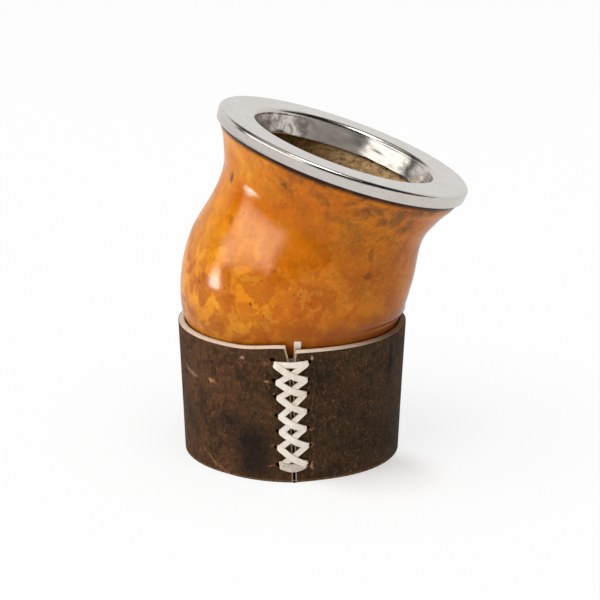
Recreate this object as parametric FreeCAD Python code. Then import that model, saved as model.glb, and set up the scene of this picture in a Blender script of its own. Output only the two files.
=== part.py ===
import FreeCAD, Part
import math
import os

# Mate cup: a leaning gourd with a spun metal rim, standing in a laced leather ring.
# Millimetres. The origin is the centre of the ring's foot, +Z is up, +X is the way
# the neck leans, and the ring's laced seam faces -Y.

# Leather ring: its height, its cut edge and how the gourd sits in its mouth
LEATHER = 2.4
RING_HEIGHT = 46.4
EDGE_BEVEL = 0.8
SEAT_DROP = 13.8
SEAT_CLEARANCE = 0.2

# Belly of the gourd, whose fullest section is a drop above the ring's inner edge
BELLY_RADIUS = 39.85
BOTTOM_FLAT = 3.85
BOTTOM_CURVE = BELLY_RADIUS - BOTTOM_FLAT
BELLY_HEIGHT = RING_HEIGHT + EDGE_BEVEL + SEAT_DROP
SEAT_RADIUS = BELLY_RADIUS - BOTTOM_CURVE + math.sqrt(BOTTOM_CURVE ** 2 - SEAT_DROP ** 2)

# The ring flares up to the gourd's seat
RING_FLARE = 0.0451
RING_FOOT_RADIUS = SEAT_RADIUS + SEAT_CLEARANCE + LEATHER - RING_FLARE * RING_HEIGHT
FLAP_RISE = 1.6
FLAP_ANGLE = -4.0
FLAP_SPREAD_ANGLE = 16.0

# Rim, measured along its own axis downwards from its flat top
RIM_OFFSET = 17.9
RIM_ABOVE_BELLY = 47.5
RIM_CENTRE = (RIM_OFFSET, 0.0, BELLY_HEIGHT + RIM_ABOVE_BELLY)
RIM_TILT = 18.8
RIM_RADIUS = 45.0
RIM_SHEET = 0.9
RIM_EDGE_ROUND = 1.3
RIM_BAND_DEPTH = 4.4
RIM_MOUTH_ROUND = 1.7
RIM_MOUTH_RADIUS = 32.0
RIM_CREASE_RADIUS = 31.3
RIM_CREASE_DEPTH = 4.2
RIM_SLEEVE_RADIUS = 30.0
RIM_SLEEVE_DEPTH = 8.4
RIM_CLEARANCE = 0.3
RIM_SEAT_GAP = 0.02

# Gourd: its spine drops from the rim's centre, then bends upright
NECK_LEAN = 19.6
FOOT_X = 0.0
BEND_RADIUS = 44.0
LIP_RADIUS = RIM_RADIUS - RIM_SHEET - RIM_CLEARANCE
# Outside radius of the neck and shoulder at depths along the spine
NECK_PROFILE = ((7.5, 42.3), (10.5, 40.4), (14.0, 38.7), (18.0, 37.1), (24.0, 36.4),
                (32.0, 37.5), (42.0, 39.2))
WAIST_DEPTH = 24.0
# The belly: a depth along the spine and how far the radius is short of the fullest
BELLY_PROFILE = ((50.0, 0.1), (56.0, 0.5))
GOURD_WALL = 6.4
BORE_RADIUS = 30.8

# The seam stands a little proud of the round, more at the foot than at the top
KEEL_FOOT = 1.4
KEEL_TOP = 1.2
KEEL_ANGLE = 2.0
KEEL_LEFT_ANGLE = 38.0
KEEL_RIGHT_ANGLE = 22.0
# The two cut edges that meet at the seam: offset along the ring, share of its height
LEFT_EDGE = ((-3.0, 1.0668), (-1.1, 0.9375), (-0.2, 0.819), (0.75, 0.0))
RIGHT_EDGE = ((1.8, 1.0668), (1.1, 0.9375), (0.5, 0.819), (1.65, 0.0))

# Lace holes in pairs from the top: left offset and share of the height, then right
ROWS = ((-6.9, 0.9289, 6.4, 0.9353),
        (-6.4, 0.7716, 6.3, 0.7996),
        (-5.8, 0.6595, 6.3, 0.6767),
        (-5.3, 0.5151, 6.3, 0.556),
        (-5.0, 0.3901, 6.3, 0.4246),
        (-5.0, 0.2629, 6.6, 0.2845),
        (-5.0, 0.1272, 6.3, 0.1401))
HOLES = [(a, b * RING_HEIGHT, c, d * RING_HEIGHT) for a, b, c, d in ROWS]
HOLE_LENGTH = 3.6
HOLE_HEIGHT = 2.8

# Lace
LACE_WIDTH = 2.4
LACE_THICK = 0.8
LACE_GAP = 0.2
LACE_LAYER = 0.24
BAR_SAG = 0.9
LACE_PLUG = 1.5
PLUG_CLEARANCE = 0.55
TAIL_OFFSET = 2.2
TAIL_RISE = 4.0
TAIL_DROP = 6.4

# How far a cutting tool reaches past what it cuts
TOOL_REACH = 5.0


# Frame of the rim's axis: a point at a given depth under the flat top
def rim_placement(depth=0.0):
    turn = FreeCAD.Rotation(FreeCAD.Vector(0, 1, 0), RIM_TILT)
    down = turn.multVec(FreeCAD.Vector(0, 0, -depth))
    return FreeCAD.Placement(FreeCAD.Vector(*RIM_CENTRE) + down, turn)


# A solid turned from an outline of radius and depth, set on the rim's axis
def turned_on_rim(edges):
    face = Part.Face(Part.Wire(edges))
    solid = face.revolve(FreeCAD.Vector(0, 0, 0), FreeCAD.Vector(0, 0, 1), 360)
    solid.Placement = rim_placement()
    return solid


def on_section(radius, depth):
    return FreeCAD.Vector(radius, 0, -depth)


def line(a, b):
    return Part.makeLine(on_section(*a), on_section(*b))


# A quarter round between two points about a centre, all on the section
def quarter(a, b, centre):
    mid = [(a[i] + b[i]) / 2 - centre[i] for i in (0, 1)]
    scale = math.hypot(a[0] - centre[0], a[1] - centre[1]) / math.hypot(*mid)
    through = (centre[0] + mid[0] * scale, centre[1] + mid[1] * scale)
    return Part.Arc(on_section(*a), on_section(*through), on_section(*b)).toShape()


# The spun rim: one sheet from the outer band over the flat and down the sleeve
def make_rim():
    t = RIM_SHEET
    flat_out = RIM_RADIUS - RIM_EDGE_ROUND
    flat_in = RIM_MOUTH_RADIUS + RIM_MOUTH_ROUND
    outer = (flat_out, RIM_EDGE_ROUND)
    inner = (flat_in, RIM_MOUTH_ROUND)
    over_in = RIM_EDGE_ROUND - t
    mouth_in = RIM_MOUTH_ROUND - t
    crease = (RIM_CREASE_RADIUS, RIM_CREASE_DEPTH)
    sleeve = (RIM_SLEEVE_RADIUS, RIM_SLEEVE_DEPTH)
    edges = [
        line((RIM_RADIUS, RIM_BAND_DEPTH), (RIM_RADIUS, RIM_EDGE_ROUND)),
        quarter((RIM_RADIUS, RIM_EDGE_ROUND), (flat_out, 0.0), outer),
        line((flat_out, 0.0), (flat_in, 0.0)),
        quarter((flat_in, 0.0), (RIM_MOUTH_RADIUS, RIM_MOUTH_ROUND), inner),
        line((RIM_MOUTH_RADIUS, RIM_MOUTH_ROUND), crease),
        line(crease, sleeve),
        line(sleeve, (sleeve[0] + t, sleeve[1])),
        line((sleeve[0] + t, sleeve[1]), (crease[0] + t, crease[1])),
        line((crease[0] + t, crease[1]), (flat_in - mouth_in, RIM_MOUTH_ROUND)),
        quarter((flat_in - mouth_in, RIM_MOUTH_ROUND), (flat_in, t), inner),
        line((flat_in, t), (flat_out, t)),
        quarter((flat_out, t), (flat_out + over_in, RIM_EDGE_ROUND), outer),
        line((flat_out + over_in, RIM_EDGE_ROUND), (RIM_RADIUS - t, RIM_BAND_DEPTH)),
        line((RIM_RADIUS - t, RIM_BAND_DEPTH), (RIM_RADIUS, RIM_BAND_DEPTH)),
    ]
    return turned_on_rim(edges)


# Lengths of the spine: the straight neck, and the height where the bend ends
def spine_lengths():
    lean = math.radians(NECK_LEAN)
    neck = RIM_CENTRE[0] - FOOT_X - BEND_RADIUS * (1 - math.cos(lean))
    neck = neck / math.sin(lean)
    upright = RIM_CENTRE[2] - BEND_RADIUS * math.sin(lean) - neck * math.cos(lean)
    return lean, neck, upright


# Centre and lean of the gourd's section at a depth along the spine
def spine(depth):
    lean, neck, upright = spine_lengths()
    bend = BEND_RADIUS * lean
    if depth < neck:
        return (RIM_CENTRE[0] - depth * math.sin(lean), RIM_CENTRE[2] - depth * math.cos(lean), lean)
    if depth < neck + bend:
        turn = lean - (depth - neck) / BEND_RADIUS
        return (FOOT_X + BEND_RADIUS * (1 - math.cos(turn)), upright + BEND_RADIUS * math.sin(turn), turn)
    return (FOOT_X, upright - (depth - neck - bend), 0.0)


# Depth along the spine of a height below the bend
def depth_at(height):
    lean, neck, upright = spine_lengths()
    return neck + BEND_RADIUS * lean + upright - height


# Radius of the rounded lower body: an arc about the belly's height
def body_radius(height, inset):
    curve = BOTTOM_CURVE - inset
    drop = BELLY_HEIGHT - height
    return BELLY_RADIUS - BOTTOM_CURVE + math.sqrt(max(curve * curve - drop * drop, 0.0))


# Circle of the gourd at a depth, square to its spine
def section(depth, radius):
    x, z, lean = spine(depth)
    normal = FreeCAD.Vector(math.sin(lean), 0, math.cos(lean))
    return Part.Wire(Part.makeCircle(radius, FreeCAD.Vector(x, 0, z), normal))


# Sections of the rounded lower body, closer together towards the bottom
def body_sections(inset, count):
    wires = []
    curve = BOTTOM_CURVE - inset
    for i in range(count):
        turn = math.radians(20.0 + 64.0 * i / (count - 1))
        height = BELLY_HEIGHT - curve * math.sin(turn)
        wires.append(section(depth_at(height), body_radius(height, inset)))
    floor = BELLY_HEIGHT - curve
    wires.append(section(depth_at(floor), BELLY_RADIUS - BOTTOM_CURVE))
    return wires


# The hollow inside of the gourd: a straight bore down to the waist, then an even wall
def make_hollow():
    wires = [section(RIM_SLEEVE_DEPTH - 1.0, BORE_RADIUS)]
    for depth, radius in NECK_PROFILE[2:]:
        inside = radius - GOURD_WALL
        if depth < WAIST_DEPTH:
            inside = min(inside, BORE_RADIUS)
        wires.append(section(depth, inside))
    for depth, short in BELLY_PROFILE:
        wires.append(section(depth, BELLY_RADIUS - GOURD_WALL - short))
    wires += body_sections(GOURD_WALL, 6)
    return Part.makeLoft(wires, True, False)


# Room for the rim: everything over the lip, and the sleeve with its clearance
def make_rim_room():
    c = RIM_SHEET + RIM_CLEARANCE
    seat = RIM_SHEET + RIM_SEAT_GAP
    far = RIM_RADIUS + TOOL_REACH
    over = -TOOL_REACH
    points = [(0, over), (far, over), (far, seat),
              (RIM_MOUTH_RADIUS + RIM_MOUTH_ROUND + RIM_CLEARANCE, seat),
              (RIM_MOUTH_RADIUS + c, RIM_MOUTH_ROUND),
              (RIM_CREASE_RADIUS + c, RIM_CREASE_DEPTH),
              (RIM_SLEEVE_RADIUS + c, RIM_SLEEVE_DEPTH + RIM_CLEARANCE),
              (0, RIM_SLEEVE_DEPTH + RIM_CLEARANCE), (0, over)]
    edges = [line(a, b) for a, b in zip(points, points[1:])]
    return turned_on_rim(edges)


# The gourd: a lip under the rim's band, the lofted body, the hollow
def make_gourd():
    normal = rim_placement().Rotation.multVec(FreeCAD.Vector(0, 0, 1))
    seat = rim_placement(RIM_BAND_DEPTH).Base
    wires = [Part.Wire(Part.makeCircle(LIP_RADIUS, seat, normal))]
    for depth, radius in NECK_PROFILE:
        wires.append(section(depth, radius))
    for depth, short in BELLY_PROFILE:
        wires.append(section(depth, BELLY_RADIUS - short))
    wires += body_sections(0.0, 7)
    body = Part.makeLoft(wires, True, False)
    lip = Part.makeCylinder(LIP_RADIUS, RIM_BAND_DEPTH, seat, normal)
    return body.fuse(lip).cut(make_hollow()).cut(make_rim_room())


# How far the seam stands proud at an angle, as a share of its peak
def keel_share(angle):
    away = angle - KEEL_ANGLE
    if away < 0:
        return 1 - min(-away / KEEL_LEFT_ANGLE, 1) ** 1.6
    return (1 - min(away / KEEL_RIGHT_ANGLE, 1)) ** 2


# Outside radius of the leather ring at an angle from the front and a height
def ring_radius(angle, height):
    share = height / RING_HEIGHT
    keel = KEEL_FOOT + (KEEL_TOP - KEEL_FOOT) * share
    return RING_FOOT_RADIUS + RING_FLARE * height + keel * keel_share(angle)


# Point of the ring from its angle to the front, radius and height
def ring_point(angle, radius, height):
    turn = math.radians(angle)
    return FreeCAD.Vector(radius * math.sin(turn), -radius * math.cos(turn), height)


# Height of the ring's outer top edge: the left flap rises towards the seam
def flap_height(angle, left):
    if not left:
        return RING_HEIGHT
    away = (min(angle, FLAP_ANGLE) - FLAP_ANGLE) / FLAP_SPREAD_ANGLE
    return RING_HEIGHT + FLAP_RISE * math.exp(-away ** 2)


# One section across the leather: bevelled at the top, run on below the foot
def leather_section(angle, left):
    top = flap_height(angle, left)
    low = -TOOL_REACH
    corners = [(ring_radius(angle, low), low), (ring_radius(angle, top), top),
               (ring_radius(angle, top) - LEATHER, top + EDGE_BEVEL),
               (ring_radius(angle, low) - LEATHER, low)]
    points = [ring_point(angle, r, z) for r, z in corners]
    return Part.makePolygon(points + points[:1])


# Tool that clears one flap beyond its cut edge
def edge_tool(edge, side):
    front = -2 * RING_FOOT_RADIUS
    far = side * RING_FOOT_RADIUS
    points = [FreeCAD.Vector(x, front, share * RING_HEIGHT) for x, share in edge]
    foot = FreeCAD.Vector(edge[-1][0], front, -2 * TOOL_REACH)
    corners = points + [foot, FreeCAD.Vector(far, front, foot.z)]
    corners.append(FreeCAD.Vector(far, front, points[0].z))
    face = Part.Face(Part.makePolygon(corners + corners[:1]))
    return face.extrude(FreeCAD.Vector(0, -front, 0))


# Half of the ring: one flap from the seam round to the back
def make_flap(left):
    if left:
        angles = (4, -4, -12, -20, -28, -37, -48, -62, -80, -100, -120, -140, -160, -180)
        edge, side = LEFT_EDGE, 1
    else:
        angles = (-1, 5, 11, 17, 24, 34, 48, 64, 80, 100, 120, 140, 160, 180)
        edge, side = RIGHT_EDGE, -1
    flap = Part.makeLoft([leather_section(a, left) for a in angles], True, False)
    reach = 2 * RING_FOOT_RADIUS
    under = Part.makeBox(2 * reach, 2 * reach, reach, FreeCAD.Vector(-reach, -reach, -reach))
    return flap.cut(edge_tool(edge, side)).cut(under)


# Place of an offset along the seam and a height on the ring, with a lift outwards
def on_ring(offset, height, lift):
    angle = math.degrees(offset / (RING_FOOT_RADIUS + RING_FLARE * height))
    return ring_point(angle, ring_radius(angle, height) + lift, height)


# Outward and sideways directions of the ring at a place on it
def directions(place):
    out = FreeCAD.Vector(place.x, place.y, 0).normalize()
    return out, FreeCAD.Vector(-out.y, out.x, 0), FreeCAD.Vector(0, 0, 1)


# A lace hole: two arcs that meet in points, cut through the leather
def hole_tool(offset, height):
    middle = on_ring(offset, height, 0)
    out, along, up = directions(middle)
    start = middle - out * (LEATHER + TOOL_REACH)
    a = start - along * (HOLE_LENGTH / 2)
    b = start + along * (HOLE_LENGTH / 2)
    over = Part.Arc(a, start + up * (HOLE_HEIGHT / 2), b).toShape()
    below = Part.Arc(b, start - up * (HOLE_HEIGHT / 2), a).toShape()
    return Part.Face(Part.Wire([over, below])).extrude(out * (LEATHER + 2 * TOOL_REACH))


def hole_places():
    for left_x, left_z, right_x, right_z in HOLES:
        yield left_x, left_z
        yield right_x, right_z


# The leather ring with its seam and its holes
def make_leather_band():
    band = make_flap(True).fuse(make_flap(False))
    for offset, height in hole_places():
        band = band.cut(hole_tool(offset, height))
    return band.removeSplitter()


# Where the thong lies in a hole: drawn from the hole's middle towards the seam
def towards_seam(offset):
    return offset - math.copysign((HOLE_LENGTH - LACE_PLUG) / 2 - PLUG_CLEARANCE, offset)


# A stretch of thong through stations of offset, height and lift of its inner side
def thong(stations, width):
    wires = []
    for i, (offset, height, lift) in enumerate(stations):
        before = stations[max(i - 1, 0)]
        after = stations[min(i + 1, len(stations) - 1)]
        run, rise = after[0] - before[0], after[1] - before[1]
        place = on_ring(offset, height, lift)
        out, along, up = directions(place)
        side = (up * run - along * rise) * (width / 2 / math.hypot(run, rise))
        corners = [place + side, place + side + out * LACE_THICK,
                   place - side + out * LACE_THICK, place - side]
        wires.append(Part.makePolygon(corners + corners[:1]))
    return Part.makeLoft(wires, True, False)


# A strap over the leather between two holes: it lies on the layers below it and
# humps by its thickness where it crosses another
def strap(start, end, layer, hump=0.0, sag=0.0):
    stations = []
    for i in range(7):
        share = i / 6.0
        swell = math.sin(math.pi * share)
        stations.append((start[0] + (end[0] - start[0]) * share,
                         start[1] + (end[1] - start[1]) * share - sag * swell,
                         LACE_GAP + layer * LACE_LAYER + hump * swell))
    return thong(stations, LACE_WIDTH)


# A bar behind the leather between the two holes of a pair
def back_bar(start, end):
    lift = -LEATHER - LACE_GAP - LACE_THICK
    stations = []
    for i in range(5):
        share = i / 4.0
        stations.append((start[0] + (end[0] - start[0]) * share,
                         start[1] + (end[1] - start[1]) * share, lift))
    return thong(stations, LACE_WIDTH)


# Where the thong passes a hole, against the hole's seam side
def plug(offset, height):
    middle = on_ring(towards_seam(offset), height, -LEATHER - LACE_GAP - LACE_THICK / 2)
    out, along, up = directions(middle)
    depth = LEATHER + 2 * LACE_GAP + LACE_THICK
    corner = middle - (along + up) * (LACE_PLUG / 2)
    corners = [corner, corner + along * LACE_PLUG, corner + (along + up) * LACE_PLUG, corner + up * LACE_PLUG]
    return Part.Face(Part.makePolygon(corners + corners[:1])).extrude(out * depth)


# The tail that stands up beside the notch, behind the right flap and against the gourd
def tail():
    stations = []
    for i in range(7):
        height = RING_HEIGHT - TAIL_DROP + (TAIL_RISE + TAIL_DROP) * i / 6.0
        behind = -LEATHER - 2 * LACE_GAP - LACE_THICK
        against = body_radius(height, 0.0) + LACE_GAP - ring_radius(KEEL_ANGLE, height)
        stations.append((TAIL_OFFSET, height, max(behind, against)))
    return thong(stations, LACE_WIDTH)


# One thong laced through every hole, fused from its stretches
def make_lace():
    lefts = [(towards_seam(row[0]), row[1]) for row in HOLES]
    rights = [(towards_seam(row[2]), row[3]) for row in HOLES]
    pieces = [plug(offset, height) for offset, height in hole_places()]
    pieces.append(strap(lefts[0], rights[0], 0, sag=BAR_SAG))
    pieces.append(strap(lefts[-1], rights[-1], 0, sag=BAR_SAG))
    for i in range(len(HOLES) - 1):
        pieces.append(strap(rights[i], lefts[i + 1], 1))
        pieces.append(strap(lefts[i], rights[i + 1], 2, hump=LACE_THICK - 1.5 * LACE_LAYER))
    for left, right in zip(lefts, rights):
        pieces.append(back_bar(left, right))
    pieces.append(tail())
    return pieces[0].multiFuse(pieces[1:])


def main():
    os.makedirs("parts", exist_ok=True)
    nodes = {"gourd": make_gourd, "rim": make_rim, "leather_band": make_leather_band, "lace": make_lace}
    for name, make in nodes.items():
        shape = make()
        print(name, len(shape.Solids), round(shape.Volume, 1), shape.isValid())
        shape.exportStep("parts/%s.step" % name)


main()
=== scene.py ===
import math

import bpy
import numpy as np
from bpy.props import FloatProperty, FloatVectorProperty, IntProperty, PointerProperty
from mathutils import Matrix


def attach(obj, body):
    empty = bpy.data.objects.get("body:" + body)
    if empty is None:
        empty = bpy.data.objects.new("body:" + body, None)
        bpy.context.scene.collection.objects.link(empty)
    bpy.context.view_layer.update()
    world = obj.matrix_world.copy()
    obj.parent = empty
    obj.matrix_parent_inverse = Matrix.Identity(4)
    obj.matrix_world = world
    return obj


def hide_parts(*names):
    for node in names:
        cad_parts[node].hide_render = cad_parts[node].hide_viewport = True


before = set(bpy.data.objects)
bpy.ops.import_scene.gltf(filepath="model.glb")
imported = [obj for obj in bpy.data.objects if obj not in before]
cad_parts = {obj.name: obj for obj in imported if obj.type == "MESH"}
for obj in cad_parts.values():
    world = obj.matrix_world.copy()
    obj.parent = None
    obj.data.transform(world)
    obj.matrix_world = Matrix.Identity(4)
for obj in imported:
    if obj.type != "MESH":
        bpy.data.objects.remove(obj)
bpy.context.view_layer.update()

bl_info = {
    "name": "Mate cup",
    "version": (1, 0, 0),
    "blender": (4, 5, 0),
    "location": "View3D > Sidebar > Mate cup",
    "description": "Dresses the packed mate cup: lacquered gourd, spun rim, leather ring and lace",
    "category": "Object",
}

MM = 0.001

# Places and sizes that the solids have too, in millimetres and degrees
RIM_CENTRE = (17.9, 0.0, 108.5)
RIM_TILT = math.radians(18.8)
RIM_EDGE_ROUND, RIM_MOUTH_ROUND, RIM_MOUTH_RADIUS = 1.3, 1.7, 32.0
NECK_LEAN = math.radians(19.6)
BEND_RADIUS = 44.0
BELLY_HEIGHT = 61.0
BELLY_RADIUS = 39.85
BOTTOM_CURVE = 36.0
GOURD_WALL = 6.4
LEATHER = 2.4
RING_FOOT_RADIUS = 37.607
RING_FLARE = 0.0451
RING_HEIGHT = 46.4
EDGE_BEVEL = 0.8
KEEL_FOOT, KEEL_TOP = 1.4, 1.2
KEEL_ANGLE, KEEL_LEFT, KEEL_RIGHT = 2.0, 38.0, 22.0
FLAP_RISE, FLAP_FROM, FLAP_ANGLE, FLAP_SPREAD = 1.6, 24.0, -4.0, 16.0
TAIL_OFFSET, TAIL_FOOT, TAIL_TOP = 2.2, 40.0, 49.8
LEFT_EDGE = ((-3.0, 49.5), (-1.1, 43.5), (-0.2, 38.0), (0.75, 0.0))
RIGHT_EDGE = ((1.8, 49.5), (1.1, 43.5), (0.5, 38.0), (1.65, 0.0))

# Rows of holes and of strap ends as they show: left offset and height, then right
HOLES = ((-6.05, 42.8, 5.7, 43.2), (-5.25, 36.1, 5.45, 37.1), (-4.75, 30.7, 5.3, 31.9),
         (-4.3, 24.0, 5.3, 25.8), (-4.0, 18.4, 5.3, 19.7), (-4.5, 12.6, 5.9, 13.2),
         (-4.0, 6.3, 5.6, 6.6))
HOLE_HALF = (1.15, 0.85)
LACE_ENDS = ((-5.0, 42.5, 5.0, 42.8), (-4.2, 36.2, 4.6, 37.1), (-3.8, 30.8, 4.3, 32.0),
             (-3.3, 24.1, 4.3, 25.8), (-3.0, 18.6, 4.3, 19.6), (-3.6, 12.8, 5.1, 13.3),
             (-3.0, 6.5, 4.8, 6.7))
STRAP_LIFT = 0.12
STRAP_DIVE = 2.6
BAR_GAP = 0.15

# Marks on the shell: place in millimetres, size, stretch along x, y and z, strength
GOURD_MARKS = (((-20.3, -15.2, 100.3), 1.3, (0.8, 1, 1.3), 0.80),
               ((-2.5, -35.4, 102.5), 0.8, (1.4, 1, 1), 0.65),
               ((-16.1, -26.0, 90.7), 0.5, (1, 1, 1), 0.6),
               ((-5.9, -37.5, 73.9), 0.7, (1.2, 1, 1), 0.6),
               ((-13.7, -36.8, 62.2), 0.6, (1.2, 1, 1), 0.75),
               ((-11.4, -37.7, 60.6), 0.4, (1, 1, 1), 0.7),
               ((-9.1, -38.4, 58.9), 0.4, (1, 1, 1), 0.7),
               ((-24.9, -30.1, 57.9), 1.2, (1, 1, 0.3), 0.4),
               ((-20.4, -23.7, 87.8), 1.6, (0.5, 1, 2.2), 0.35),
               ((-31.4, -22.2, 65.8), 0.8, (1, 1, 1), 0.4),
               ((41.0, -33.0, 92.9), 1.5, (3.6, 3, 0.9), 0.55),
               ((29.8, -34.8, 90.0), 1.7, (1.3, 1, 1), 0.50),
               ((37.3, -28.7, 86.3), 2.2, (1.4, 1, 1), 0.40),
               ((23.1, -38.6, 94.3), 2.2, (1.5, 1, 1), 0.40),
               ((25.5, -32.0, 70.8), 1.6, (1.2, 1, 0.8), 0.60),
               ((26.4, -31.6, 78.1), 1.0, (0.7, 1, 3.0), 0.50),
               ((30.6, -31.1, 84.5), 0.9, (1.8, 1, 0.6), 0.50),
               ((17.2, -35.8, 85.7), 0.5, (2, 1, 0.6), 0.5),
               ((34.8, -26.4, 80.7), 0.8, (1.8, 1, 0.5), 0.50))
AMBER_PATCHES = (((-18.6, -22.5, 97.0), 5.5, (1, 1, 1), 0.85),
                 ((-8.0, -31.0, 92.5), 5.0, (2.0, 1, 0.7), 0.55))

# Marks on the leather: offset, height, half width, half height and turn; colour; strength
LEATHER_MARKS = (((-42.0, 32.9, 5.0, 0.8, -0.25), (176, 148, 122), 0.45),
                 ((-44.5, 32.6, 2.0, 0.9, -0.2), (150, 122, 98), 0.35),
                 ((-30.2, 33.0, 1.7, 0.6, -0.1), (206, 152, 108), 0.65),
                 ((-28.7, 32.9, 1.0, 0.7, 0.0), (176, 116, 74), 0.55),
                 ((-30.0, 4.0, 5.5, 0.35, -0.55), (152, 110, 76), 0.60),
                 ((-24.6, 1.2, 2.2, 0.8, -0.3), (140, 98, 66), 0.55),
                 ((-13.6, 13.0, 8.5, 9.0, 0.3), (24, 21, 20), 0.80),
                 ((-23.0, 19.5, 8.0, 3.6, 0.3), (30, 26, 24), 0.60),
                 ((-12.6, 5.0, 7.0, 5.4, 0.0), (24, 21, 20), 0.65),
                 ((-42.0, 15.0, 7.5, 7.0, 0.0), (38, 31, 26), 0.50),
                 ((40.6, 38.0, 1.9, 11.0, 0.0), (22, 21, 20), 0.85),
                 ((-16.8, 43.5, 0.8, 0.5, 0.0), (206, 176, 150), 0.55),
                 ((7.5, 21.0, 0.22, 14.0, 0.0), (150, 112, 76), 0.22),
                 ((6.4, 44.4, 0.5, 0.7, 0.4), (206, 178, 150), 0.70),
                 ((7.3, 5.8, 0.5, 1.3, 0.2), (196, 150, 112), 0.70),
                 ((7.4, 13.2, 0.8, 0.4, 0.2), (170, 112, 74), 0.70),
                 ((-8.2, 42.4, 1.6, 1.1, 0.2), (132, 84, 54), 0.60),
                 ((-7.5, 36.0, 0.9, 0.6, -0.4), (186, 128, 88), 0.75),
                 ((-6.2, 6.2, 1.2, 0.5, 0.2), (150, 92, 56), 0.70),
                 ((-6.4, 12.8, 0.8, 0.5, 0.0), (140, 86, 52), 0.60),
                 ((-6.2, 24.6, 0.7, 0.8, 0.0), (120, 76, 46), 0.60),
                 ((6.9, 19.2, 0.8, 0.6, 0.3), (176, 122, 84), 0.65))

# The stage in metres: what the lamps face, the knot mark, and the camera as it was fitted
CUP = (0.0, 0.0, 0.075)
KNOT = (-0.02, -0.027, 0.083)
CAMERA_RIGHT = np.array([0.999982, 0.004963, 0.003437])
CAMERA_UP = np.array([-0.004706, 0.283997, 0.958814])
CAMERA_PLACE = np.array([0.0059, -0.80181, 0.29053])
FLOOR_HALF, FLOOR_DROP = 2500.0, 0.05


def paint_value(red, green, blue):
    """A colour as a painter mixes it, 0 to 255, turned to the light that it gives back."""
    def channel(c):
        c = c / 255.0
        return c / 12.92 if c <= 0.04045 else ((c + 0.055) / 1.055) ** 2.4
    return (channel(red), channel(green), channel(blue))


def shaded(colour, *shares):
    """A colour with each channel at a share of its light, or all three at the one share."""
    return tuple(c * f for c, f in zip(colour, shares if len(shares) == 3 else shares * 3))


def metres(point):
    return tuple(c * MM for c in point)


def colour_prop(name, words, rgb):
    return FloatVectorProperty(name=name, description=words, default=paint_value(*rgb),
                               subtype="COLOR", size=3, min=0.0, max=1.0)


def length_prop(name, words, millimetres):
    return FloatProperty(name=name, description=words, default=millimetres * MM,
                         unit="LENGTH", subtype="DISTANCE", min=0.0)


class GourdLook(bpy.types.PropertyGroup):
    amber: colour_prop("Amber", "Main colour of the lacquered shell", (222, 132, 14))
    honey: colour_prop("Honey", "Lighter clouds in the shell", (232, 150, 28))
    umber: colour_prop("Umber", "Brown blotches in the shell", (178, 86, 6))
    # Painted shade: the colour that darkens the shell's right side, away from the key light
    right_shade: colour_prop("Dull", "Duller shell on the side of the lean", (188, 106, 10))
    smudge: colour_prop("Smudge", "Grey-brown smudges near the rim", (126, 76, 24))
    flesh: colour_prop("Flesh", "The bare fibrous inside", (116, 88, 44))
    lump: length_prop("Lumps", "How far the grown shell is out of round", 0.25)
    lacquer: FloatProperty(name="Lacquer", description="Strength of the clear coat", default=0.8,
                           subtype="FACTOR", min=0.0, max=1.0)


class RimLook(bpy.types.PropertyGroup):
    metal: colour_prop("Metal", "Colour of the polished sheet", (220, 215, 209))
    sheet: length_prop("Sheet", "Thickness of the spun sheet", 0.9)
    radius: length_prop("Radius", "Outer radius of the rim", 45.0)


class LeatherLook(bpy.types.PropertyGroup):
    hide: colour_prop("Hide", "Waxed outer face of the leather", (70, 50, 30))
    warm: colour_prop("Warm", "Browner hide left of the seam", (98, 64, 40))
    dark: colour_prop("Dark", "Darkest stains of the leather", (34, 27, 20))
    cut: colour_prop("Cut edge", "Pale cut edge of the leather", (232, 212, 190))
    torn: colour_prop("Torn fibres", "Orange-brown fibres round the holes", (168, 104, 62))
    leather: length_prop("Thickness", "Thickness of the leather", LEATHER)


class LaceLook(bpy.types.PropertyGroup):
    thong: colour_prop("Thong", "Smooth side of the thong", (240, 233, 223))
    rough: colour_prop("Flesh side", "Rough side of the thong", (222, 208, 196))
    width: length_prop("Width", "Width of the thong", 2.5)
    thick: length_prop("Thickness", "Thickness of the thong", 0.8)


class StageLook(bpy.types.PropertyGroup):
    floor: colour_prop("Floor", "Colour of the floor", (250, 250, 250))
    key: FloatProperty(name="Key light", description="Brightness of the large softbox, white is 1",
                       default=1.95, min=0.0)
    fill: FloatProperty(name="Fill light", description="Brightness of the room", default=0.54,
                        min=0.0)
    lens: FloatProperty(name="Lens", description="Focal length of the camera in millimetres",
                        default=144.0, min=10.0)
    steps: IntProperty(name="Steps", description="Steps round each turned piece", default=288, min=32)


# Shader expressions

class Value:
    """A number in a material: Python's operators on it add Math nodes."""

    def __init__(self, paint, socket):
        self.paint = paint
        self.socket = socket

    def math(self, operation, *others):
        return self.paint.node("ShaderNodeMath", {"operation": operation}, (self,) + others)

    def __add__(self, other):
        return self.math("ADD", other)

    def __sub__(self, other):
        return self.math("SUBTRACT", other)

    def __mul__(self, other):
        return self.math("MULTIPLY", other)

    def __pow__(self, other):
        return self.math("POWER", other)

    def __rsub__(self, other):
        return self.paint.node("ShaderNodeMath", {"operation": "SUBTRACT"}, (other, self))

    def __abs__(self):
        return self.math("ABSOLUTE")

    __radd__ = __add__
    __rmul__ = __mul__

    def highest(self, other):
        return self.math("MAXIMUM", other)

    def rise(self, low, high):
        """Nought below low, one above high, and an even S between them."""
        return self.paint.node("ShaderNodeMapRange",
                               {"interpolation_type": "SMOOTHSTEP", "clamp": True},
                               {"Value": self, "From Min": low, "From Max": high})


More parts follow.
